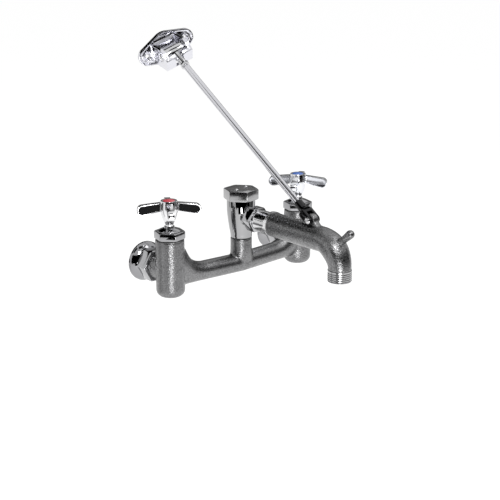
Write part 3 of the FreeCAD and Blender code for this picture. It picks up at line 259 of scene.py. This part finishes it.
def makePolishFilm():
    # polished plate, never quite even
    look = filmLook
    group, start, end = nodeGroup("polishFilm", [
        ("NodeSocketVector", "Coordinates", (0, 0, 0)),
        ("NodeSocketFloat", "Low Roughness", 0.05),
        ("NodeSocketFloat", "High Roughness", 0.12),
    ], ["Roughness", "Height", "Tone"])
    place = start["Coordinates"]
    swirl = makeNoise(group, place, look["swirlScale"], look["swirlDetail"], look["swirlRoughness"])
    spread = makeMath(group, "SUBTRACT", start["High Roughness"], start["Low Roughness"])
    feed(group, end["Roughness"], plusShare(group, start["Low Roughness"], swirl, spread))
    wave = makeNoise(group, place, look["waveScale"], look["waveDetail"])
    hair = makeNoise(group, place, look["hairScale"], look["hairDetail"])
    feed(group, end["Height"], plusShare(group, wave, hair, look["hairHeight"]))
    feed(group, end["Tone"], makeNoise(group, place, look["toneScale"], look["toneDetail"]))
    return group


castGrain = makeCastGrain()
polishFilm = makePolishFilm()

castLook = {
    "dark": (0.10, 0.10, 0.102),
    "light": (0.31, 0.31, 0.314),
    "speckleShare": 0.6,
    "cloudShare": 0.4,
    "lowRoughness": 0.2,
    "highRoughness": 0.36,
    "bodyGrain": 1.0,             # millimetres
    "bodyGrainHeight": 0.00017,   # metres
    "spoutGrain": 1.4,
    "spoutGrainHeight": 0.00026,
    "sleeveColor": (0.72, 0.72, 0.73),
    "sleeveRoughness": 0.16,
    "sleevePolishedTo": -0.1165,  # distances in front of the wall plane, metres
    "sleeveRoughFrom": -0.1185,
}


def makeCast(name, grainSize, grainHeight, sleeve=False):
    # rough plate, and the sleeve at the back of the spout is polished
    look = castLook
    material, tree, shader, coordinates = startMaterial(name)
    shader.inputs["Metallic"].default_value = 1.0
    grain = addNode(tree, "ShaderNodeGroup", {
        "Coordinates": coordinates, "Grain Size": grainSize,
    }, node_tree=castGrain).outputs
    mixed = plusShare(tree, times(tree, grain["Speckle"], look["speckleShare"]),
                      grain["Cloud"], look["cloudShare"])
    color = mixColors(tree, mixed, look["dark"], look["light"])
    rough = makeRange(tree, grain["Speckle"], 0.0, 1.0, look["highRoughness"], look["lowRoughness"])
    height = grain["Height"]
    if sleeve:
        depth = addNode(tree, "ShaderNodeSeparateXYZ", {"Vector": coordinates}).outputs["Y"]
        polished = makeRange(tree, depth,
                             look["sleeveRoughFrom"], look["sleevePolishedTo"], 0.0, 1.0)
        left = makeMath(tree, "SUBTRACT", 1.0, polished)
        color = mixColors(tree, polished, color, look["sleeveColor"])
        rough = plusShare(tree, times(tree, rough, left), polished, look["sleeveRoughness"])
        height = times(tree, height, left)
    finishShader(tree, shader, color, rough, height, grainHeight)
    return material


polishLook = {
    "contrast": 0.08,        # how much darker the darker patches are
    "waveHeight": 0.00002,   # metres
}


def makePolished(name, color, low, high):
    material, tree, shader, coordinates = startMaterial(name)
    shader.inputs["Metallic"].default_value = 1.0
    film = addNode(tree, "ShaderNodeGroup", {
        "Coordinates": coordinates, "Low Roughness": low, "High Roughness": high,
    }, node_tree=polishFilm).outputs
    darker = tuple(value * (1 - polishLook["contrast"]) for value in color)
    finishShader(tree, shader, mixColors(tree, film["Tone"], darker, color), film["Roughness"],
                 film["Height"], polishLook["waveHeight"])
    return material


plainLook = {
    "grain": 1.0,            # millimetres
    "darkShare": 0.86,       # the darker patches, as a share of the colour
    "lowShare": 0.9,         # lowest and highest roughness, as shares of the given one
    "highShare": 1.1,
}


def makePlain(name, color, roughness, gloss=0.5, coat=0.0, grainHeight=0.00003):
    # enamel, rubber, fibre or plastic: a slightly mottled colour over a fine tooth
    look = plainLook
    material, tree, shader, coordinates = startMaterial(name)
    shader.inputs["Specular IOR Level"].default_value = gloss
    shader.inputs["Coat Weight"].default_value = coat
    grain = addNode(tree, "ShaderNodeGroup", {
        "Coordinates": coordinates, "Grain Size": look["grain"],
    }, node_tree=castGrain).outputs
    darker = tuple(value * look["darkShare"] for value in color)
    rough = makeRange(tree, grain["Speckle"], 0.0, 1.0,
                      roughness * look["lowShare"], roughness * look["highShare"])
    finishShader(tree, shader, mixColors(tree, grain["Cloud"], darker, color), rough,
                 grain["Height"], grainHeight)
    return material


# several chromes below are darker copies of one chrome, with their dark reflections painted into
# the colour
polishedFinishes = {         # colour, lowest and highest roughness
    # bonnet: chrome darkened, a painted dark reflection
    "bonnet_chrome": ((0.34, 0.34, 0.35), 0.05, 0.14),
    "stem_chrome": ((0.80, 0.80, 0.81), 0.04, 0.1),
    "hot_handle_chrome": ((0.78, 0.78, 0.79), 0.1, 0.2),
    "cold_handle_chrome": ((0.78, 0.79, 0.82), 0.1, 0.2),
    # coupling nuts, flanges, breaker body, cap and spout nut: chrome darkened, a painted dark
    # reflection
    "coupling_chrome": ((0.42, 0.42, 0.43), 0.06, 0.15),
    "flange_chrome": ((0.31, 0.31, 0.32), 0.04, 0.1),
    "breaker_chrome": ((0.36, 0.36, 0.365), 0.02, 0.05),
    "cap_chrome": ((0.38, 0.38, 0.385), 0.12, 0.24),
    "spout_nut_chrome": ((0.42, 0.42, 0.43), 0.02, 0.06),
    # fork: chrome painted near black, a painted dark reflection
    "fork_chrome": ((0.035, 0.035, 0.037), 0.08, 0.18),
    "rod_chrome": ((0.66, 0.66, 0.69), 0.05, 0.12),
    "jam_nut_chrome": ((0.6, 0.6, 0.61), 0.04, 0.1),
    "rod_eye_chrome": ((0.6, 0.6, 0.61), 0.04, 0.1),
    "bracket_chrome": ((0.73, 0.73, 0.775), 0.08, 0.17),
    "brace_pin_steel": ((0.6, 0.6, 0.61), 0.12, 0.25),
    "screw_steel": ((0.55, 0.55, 0.56), 0.12, 0.25),
    "valve_brass": ((0.72, 0.5, 0.2), 0.2, 0.32),
    "thread_chrome": ((0.42, 0.42, 0.425), 0.12, 0.25),
    "cold_panel": ((0.62, 0.63, 0.67), 0.1, 0.2),
}
enamelTooth = 0.000005       # metres
plainFinishes = {
    "black_rubber": {"color": (0.02, 0.02, 0.02), "roughness": 0.7},
    "packing_fibre": {"color": (0.08, 0.075, 0.07), "roughness": 0.8},
    "float_plastic": {"color": (0.8, 0.78, 0.72), "roughness": 0.4},
    "red_button": {"color": (0.5, 0.05, 0.07), "roughness": 0.3, "coat": 0.3,
                   "grainHeight": enamelTooth},
    "blue_button": {"color": (0.035, 0.12, 0.43), "roughness": 0.3, "coat": 0.3,
                    "grainHeight": enamelTooth},
    "hot_panel": {"color": (0.004, 0.004, 0.0045), "roughness": 0.6, "gloss": 0.1},
}


def materialName(finish):
    first, *rest = finish.split("_")
    return first + "".join(word.title() for word in rest)


slotMaterials = {
    "cast_chrome": makeCast("castChrome", castLook["bodyGrain"], castLook["bodyGrainHeight"]),
    "spout_chrome": makeCast("spoutChrome", castLook["spoutGrain"], castLook["spoutGrainHeight"],
                             sleeve=True),
}
for finish, (color, low, high) in polishedFinishes.items():
    slotMaterials[finish] = makePolished(materialName(finish), color, low, high)
for finish, look in plainFinishes.items():
    slotMaterials[finish] = makePlain(materialName(finish), **look)
for node, solid in nodes.items():
    for slot in solid.material_slots:
        slot.material = slotMaterials[slotOf[node]]
print("materials made:", len(slotMaterials))


# machined pieces with broken edges

brokenEdges = {              # widths in millimetres
    "hot_bonnet": 0.35, "cold_bonnet": 0.35,
    "hot_coupling_nut": 0.4, "cold_coupling_nut": 0.4,
    "hot_packing_nut": 0.25, "cold_packing_nut": 0.25,
    "hot_supply_arm": 0.4, "cold_supply_arm": 0.4,
    "breaker_cap": 0.4, "breaker_body": 0.3, "spout_nut": 0.35,
    "brace_fork": 0.35, "jam_nut": 0.2, "rod_eye": 0.4, "wall_bracket": 0.45,
    "hot_handle": 0.5, "cold_handle": 0.5,
}
edgeTool = {
    "segments": 2,
    "flatWithin": 0.4,       # degrees: faces this near to flat become one
    "sharpFrom": 35,         # degrees: edges this sharp are broken
    "smoothUpTo": 30,
}


def breakEdges(node, width):
    # a machined piece keeps its form, with its sharp edges broken
    piece = copyOfNode(node, node + "_finished")
    editAll(piece)
    bpy.ops.mesh.dissolve_limited(angle_limit=math.radians(edgeTool["flatWithin"]))
    leaveEdit()
    applyModifier(piece, "BEVEL", limit_method="ANGLE", width=width * mm,
                  angle_limit=math.radians(edgeTool["sharpFrom"]),
                  segments=edgeTool["segments"], miter_outer="MITER_ARC", use_clamp_overlap=True)
    only(piece)
    bpy.ops.object.shade_smooth_by_angle(angle=math.radians(edgeTool["smoothUpTo"]))
    standFor(piece, node, slotMaterials[slotOf[node]])


for node, width in brokenEdges.items():
    breakEdges(node, width)
print("edges broken:", len(brokenEdges))

crossHandles = {
    "hot": {"x": -101.6, "y": -50.0, "angle": -33.0},
    "cold": {"x": 101.6, "y": -50.0, "angle": 37.0},
    "panelOffset": 2.7,      # half the arm's thickness inside its recessed panels
    "panelMargin": 0.12,
    "panelStart": 11.0,      # the panels begin this far from the stem
    "sideways": 0.9,         # least sideways part of a panel's normal
}


def colorPanels(side):
    # the recessed sides of the arms get colours of their own: near black on the hot handle, a
    # darker grey on the cold
    size = crossHandles
    handle = bpy.data.objects[side + "_handle_finished"]
    handle.data.materials.append(slotMaterials[side + "_panel"])
    place = size[side]
    turn = Matrix.Rotation(-math.radians(place["angle"]), 3, "Z")
    centre = Vector((place["x"] * mm, place["y"] * mm, 0))
    count = 0
    for face in handle.data.polygons:
        point = turn @ (face.center - centre)
        normal = turn @ face.normal
        onFirstArm = abs(point.x) > abs(point.y)
        along, across = (point.x, point.y) if onFirstArm else (point.y, point.x)
        sideways = abs(normal.y if onFirstArm else normal.x)
        recessed = abs(abs(across) - size["panelOffset"] * mm) < size["panelMargin"] * mm
        if recessed and sideways > size["sideways"] and abs(along) > size["panelStart"] * mm:
            face.material_index = 1
            count += 1
    return count


for side in ("hot", "cold"):
    print(side, "handle panel faces:", colorPanels(side))


# cast pieces

castings = {                 # voxels in millimetres, and passes of smoothing
    "faucet_body": {"voxel": 0.85, "smooth": 6},
    "spout": {"voxel": 0.7, "smooth": 5},
    "smoothing": 0.6,
}


def castPiece(node, name, spare=None):
    # moulded skin: corners and junctions run into each other with small fillets
    size = castings[node]
    piece = copyOfNode(node, name)
    if spare:
        carve(piece, spare)
    applyModifier(piece, "REMESH", mode="VOXEL", voxel_size=size["voxel"] * mm,
                  use_smooth_shade=True)
    applyModifier(piece, "CORRECTIVE_SMOOTH", iterations=size["smooth"],
                  factor=castings["smoothing"], use_only_smooth=True, use_pin_boundary=False)
    only(piece)
    bpy.ops.object.shade_smooth()
    standFor(piece, node, slotMaterials[slotOf[node]])


hoseEnd = {                  # millimetres
    "depth": -224.9,         # its axis, in front of the wall plane
    "low": 8.2,              # height of its mouth
    "high": 21.0,
    "overlap": 0.4,          # how far it reaches into the casting
    "radius": 13.5,
    "sides": 96,
    "chamfer": 0.9,
    "chamferSteps": 2,
    "chamferWithin": 0.01,   # edges this near to the mouth are the ones broken
    "bore": 8.0,
    "mouthRadius": 10.2,
    "mouthDepth": 7.0,
    "cutBelow": 1.0,         # how far the cutters reach past it
    "cutAbove": 3.0,
    "pitch": 2.2,
    "threadStart": 0.4,      # height of the groove's start above the mouth
    "threadDepth": 1.25,
    "threadSquash": 0.95,
    "threadSteps": 72,
    "threadWeld": 0.001,
    "turns": 5,
    "smoothUpTo": 25,        # degrees
    "roomAround": 2.0,       # what the casting leaves free round it, and from what height
    "roomFrom": -5.0,
}


def roundBar(name, radius, low, high):
    # upright bar on the axis of the hose end
    bpy.ops.object.select_all(action="DESELECT")
    middle = (0, hoseEnd["depth"] * mm, (low + high) / 2 * mm)
    bpy.ops.mesh.primitive_cylinder_add(vertices=hoseEnd["sides"], radius=radius * mm,
                                        depth=(high - low) * mm, location=middle)
    bar = bpy.context.object
    bar.name = name
    return settle(bar)


def chamferMouth(piece):
    size = hoseEnd
    only(piece)
    bpy.ops.object.mode_set(mode="EDIT")
    bpy.ops.mesh.select_all(action="DESELECT")
    leaveEdit()
    for edge in piece.data.edges:
        ends = [piece.data.vertices[index].co.z for index in edge.vertices]
        edge.select = max(ends) < (size["low"] + size["chamferWithin"]) * mm
    bpy.ops.object.mode_set(mode="EDIT")
    bpy.ops.mesh.select_mode(type="EDGE")
    bpy.ops.mesh.bevel(offset=size["chamfer"] * mm, segments=size["chamferSteps"])
    leaveEdit()


def makeGroove():
    # thread groove: a three-sided ring profile wound down the bar
    size = hoseEnd
    bpy.ops.object.select_all(action="DESELECT")
    bpy.ops.mesh.primitive_circle_add(vertices=3, radius=size["threadDepth"] * mm,
                                      fill_type="NOTHING", rotation=(math.pi / 2, 0, 0))
    groove = bpy.context.object
    groove.name = "thread_groove"
    settle(groove)
    editAll(groove)
    bpy.ops.transform.rotate(value=math.pi / 2, orient_axis="Y", center_override=(0, 0, 0))
    bpy.ops.transform.resize(value=(1.0, 1.0, size["threadSquash"]), center_override=(0, 0, 0))
    bpy.ops.transform.translate(value=(size["radius"] * mm, 0, 0))
    leaveEdit()
    applyModifier(groove, "SCREW", angle=math.tau, screw_offset=size["pitch"] * mm,
                  iterations=size["turns"], steps=size["threadSteps"],
                  render_steps=size["threadSteps"], use_smooth_shade=False)
    editAll(groove)
    bpy.ops.mesh.remove_doubles(threshold=size["threadWeld"] * mm)
    bpy.ops.mesh.fill_holes(sides=4)    # its two open ends
    bpy.ops.mesh.normals_make_consistent(inside=False)
    bpy.ops.transform.translate(
        value=(0, size["depth"] * mm, (size["low"] + size["threadStart"]) * mm))
    leaveEdit()
    return groove


def makeHoseEnd():
    size = hoseEnd
    below, above = size["low"] - size["cutBelow"], size["high"] + size["cutAbove"]
    piece = roundBar("hose_end", size["radius"], size["low"], size["high"] + size["overlap"])
    chamferMouth(piece)
    carve(piece, makeGroove())
    carve(piece, roundBar("mouth_space", size["mouthRadius"], below,
                          size["low"] + size["mouthDepth"]))
    carve(piece, roundBar("water_space", size["bore"], below, above))
    only(piece)
    bpy.ops.object.shade_smooth_by_angle(angle=math.radians(size["smoothUpTo"]))
    standFor(piece, "spout", slotMaterials["thread_chrome"])


def threadSpace():
    # the room that the spout's casting leaves for its hose end
    size = hoseEnd
    return roundBar("thread_space", size["radius"] + size["roomAround"], size["roomFrom"],
                    size["high"])


castPiece("faucet_body", "cast_body")
castPiece("spout", "cast_spout", spare=threadSpace())
makeHoseEnd()
print("castings made")


# studio

camera = {
    "azimuth": -41.25,
    "elevation": 17.12,
    "distance": 1.4,
    "aim": (0.0129, -0.0599, 0.0033),
    "lens": 82.706,
    "sensor": 36,
    "farthest": 100,
}


def direction(azimuth, elevation):
    # azimuth 0 is straight in front, and 90 is on the right
    around, up = math.radians(azimuth), math.radians(elevation)
    return Vector((math.sin(around) * math.cos(up), -math.cos(around) * math.cos(up), math.sin(up)))


def placeFacing(azimuth, elevation, distance):
    # a place this far from the aim, turned to face it
    back = direction(azimuth, elevation)
    right = Vector((0, 0, 1)).cross(back).normalized()
    up = back.cross(right)
    turned = Matrix((right, up, back)).transposed().to_4x4()
    return Matrix.Translation(Vector(camera["aim"]) + back * distance) @ turned


def placeCamera():
    lens = bpy.data.cameras.new("camera")
    lens.lens = camera["lens"]
    lens.sensor_width = camera["sensor"]
    lens.clip_end = camera["farthest"]
    stand = bpy.data.objects.new("camera", lens)
    bpy.context.scene.collection.objects.link(stand)
    stand.matrix_world = placeFacing(camera["azimuth"], camera["elevation"], camera["distance"])
    bpy.context.scene.camera = stand


studio = {
    "floorHeight": -0.30,
    "floorSize": 60.0,
    "floorColor": (0.96, 0.96, 0.96),
    "floorRoughness": 0.9,
    "floorLift": 0.13,       # its own light where it is seen, so the paper shows white
    "skyForDiffuse": 0.9,    # the sky's strength as light; where it is seen it is 1
}


def makeSeen(tree):
    # 1 where it is seen by the camera, in the metal or through something, and 0 elsewhere
    paths = addNode(tree, "ShaderNodeLightPath").outputs
    seen = makeMath(tree, "ADD", paths["Is Camera Ray"], paths["Is Glossy Ray"])
    return makeMath(tree, "ADD", seen, paths["Is Transmission Ray"], clamp=True)


def makeFloor():
    bpy.ops.object.select_all(action="DESELECT")
    bpy.ops.mesh.primitive_plane_add(size=studio["floorSize"],
                                     location=(0, 0, studio["floorHeight"]))
    floor = bpy.context.object
    floor.name = "floor"
    material = bpy.data.materials.new("floorPaper")
    material.use_nodes = True
    tree = material.node_tree
    paper = tree.nodes["Principled BSDF"].inputs
    paper["Base Color"].default_value = (*studio["floorColor"], 1)
    paper["Roughness"].default_value = studio["floorRoughness"]
    paper["Specular IOR Level"].default_value = 0.0
    paper["Emission Color"].default_value = (1, 1, 1, 1)
    feed(tree, paper["Emission Strength"], times(tree, makeSeen(tree), studio["floorLift"]))
    floor.data.materials.append(material)


def makeSky():
    world = bpy.data.worlds.new("studioSky")
    bpy.context.scene.world = world
    world.use_nodes = True
    tree = world.node_tree
    sky = tree.nodes["Background"].inputs
    sky["Color"].default_value = (1, 1, 1, 1)
    level = makeRange(tree, makeSeen(tree), 0.0, 1.0, studio["skyForDiffuse"], 1.0)
    feed(tree, sky["Strength"], level)


def glowMaterial(name, level):
    material = bpy.data.materials.new(name)
    material.use_nodes = True
    tree = material.node_tree
    tree.nodes.remove(tree.nodes["Principled BSDF"])
    glow = addNode(tree, "ShaderNodeEmission", {"Color": (level, level, level, 1)})
    feed(tree, tree.nodes["Material Output"].inputs["Surface"], glow.outputs[0])
    return material


def reflectorCard(name, azimuth, elevation, distance, width, height, level):
    # a card that only shows in the metal
    bpy.ops.object.select_all(action="DESELECT")
    bpy.ops.mesh.primitive_plane_add(size=1)
    card = bpy.context.object
    card.name = name
    card.matrix_world = (placeFacing(azimuth, elevation, distance)
                         @ Matrix.Diagonal((width, height, 1, 1)))
    card.data.materials.append(glowMaterial(name + "Glow", level))
    card.visible_camera = False
    card.visible_diffuse = False
    card.visible_shadow = False


def softbox(name, azimuth, elevation, distance, width, height, power):
    light = bpy.data.lights.new(name, "AREA")
    light.shape = "RECTANGLE"
    light.size = width
    light.size_y = height
    light.energy = power
    box = bpy.data.objects.new(name, light)
    bpy.context.scene.collection.objects.link(box)
    box.matrix_world = placeFacing(azimuth, elevation, distance)
    box.visible_camera = False


# name, azimuth, elevation, distance, width, height, brightness
cards = [
    ("cardBackHigh", 190, 41, 1.6, 2.3, 1.05, 0.0),
    ("cardBehind", 138.75, 5, 2.2, 3.2, 2.0, 0.2),
    ("cardLeft", -128, -10, 1.5, 0.9, 0.9, 0.05),
    ("cardRight", 54, 0, 1.5, 1.1, 1.3, 0.10),
    ("stripLeft", -78, 5, 1.3, 0.12, 1.2, 0.0),
    ("stripMiddle", -12, -2, 1.25, 0.22, 1.0, 0.0),
    ("stripRight", 8, 5, 1.3, 0.14, 1.2, 0.0),
    ("stripLow", -112, -14, 0.6, 0.07, 0.34, 0.0),
    ("cardFrontLow", -54.5, -9, 0.6, 0.18, 0.22, 0.0),
    ("cardRod", -91, 52, 1.3, 0.45, 0.6, 0.0),
    ("cardAbove", -30, 72, 1.2, 0.5, 0.35, 0.0),
    ("frontLeft", -65, 9, 1.2, 0.92, 0.8, 0.0),
    ("frontRight", 3, 9, 1.2, 1.33, 0.8, 0.0),
    ("frontMiddle", -35, 11, 1.2, 0.46, 0.8, 0.0),
    ("whiteSleeve", -133.6, -4.9, 0.51, 0.095, 0.48, 1.0),
]
# the same, with the power in watts
softboxes = [
    ("frontStrip", -35, -17, 1.05, 0.28, 0.36, 4.2),
    ("frontHigh", -35, 37, 1.05, 0.22, 0.3, 3),
    ("topFill", 20, 60, 1.6, 0.9, 0.9, 6),
]
placeCamera()
makeFloor()
makeSky()
for card in cards:
    reflectorCard(*card)
for box in softboxes:
    softbox(*box)
bpy.context.scene.view_settings.view_transform = "Standard"
print("studio set")
